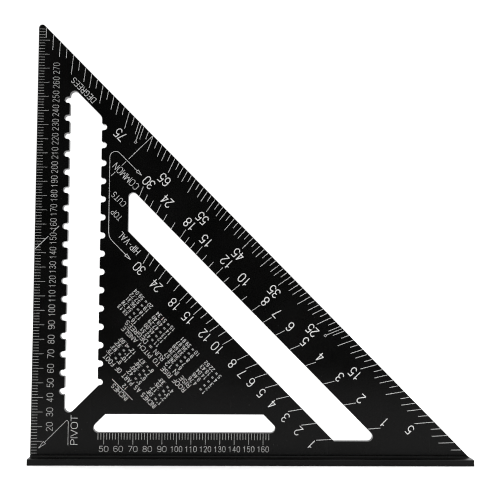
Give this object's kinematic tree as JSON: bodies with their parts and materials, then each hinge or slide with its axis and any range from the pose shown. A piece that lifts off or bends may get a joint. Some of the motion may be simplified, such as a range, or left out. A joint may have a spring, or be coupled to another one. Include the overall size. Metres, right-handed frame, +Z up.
{
  "type": "speed square",
  "caption": "Large triangular rafter square for roofing and siding: a windowed blade with a toothed scribing slot, seated on a T-shaped fence bar.",
  "frame": {"origin": "middle of the fence's flat underside, on which the square stands", "axes": "+X along the fence from the right-angled corner to the far end, +Y through the blade from its marked front to its back, +Z up from the fence's underside to the blade's tip"},
  "size_m": [0.3048, 0.0254, 0.3051],
  "materials": {
    "blade_coat": "satin",
    "fence_coat": "satin",
    "marking": "matte"
  },
  "bodies": {
    "root": {"blade": "blade_coat", "fence": "fence_coat"}
  },
  "joints": []
}
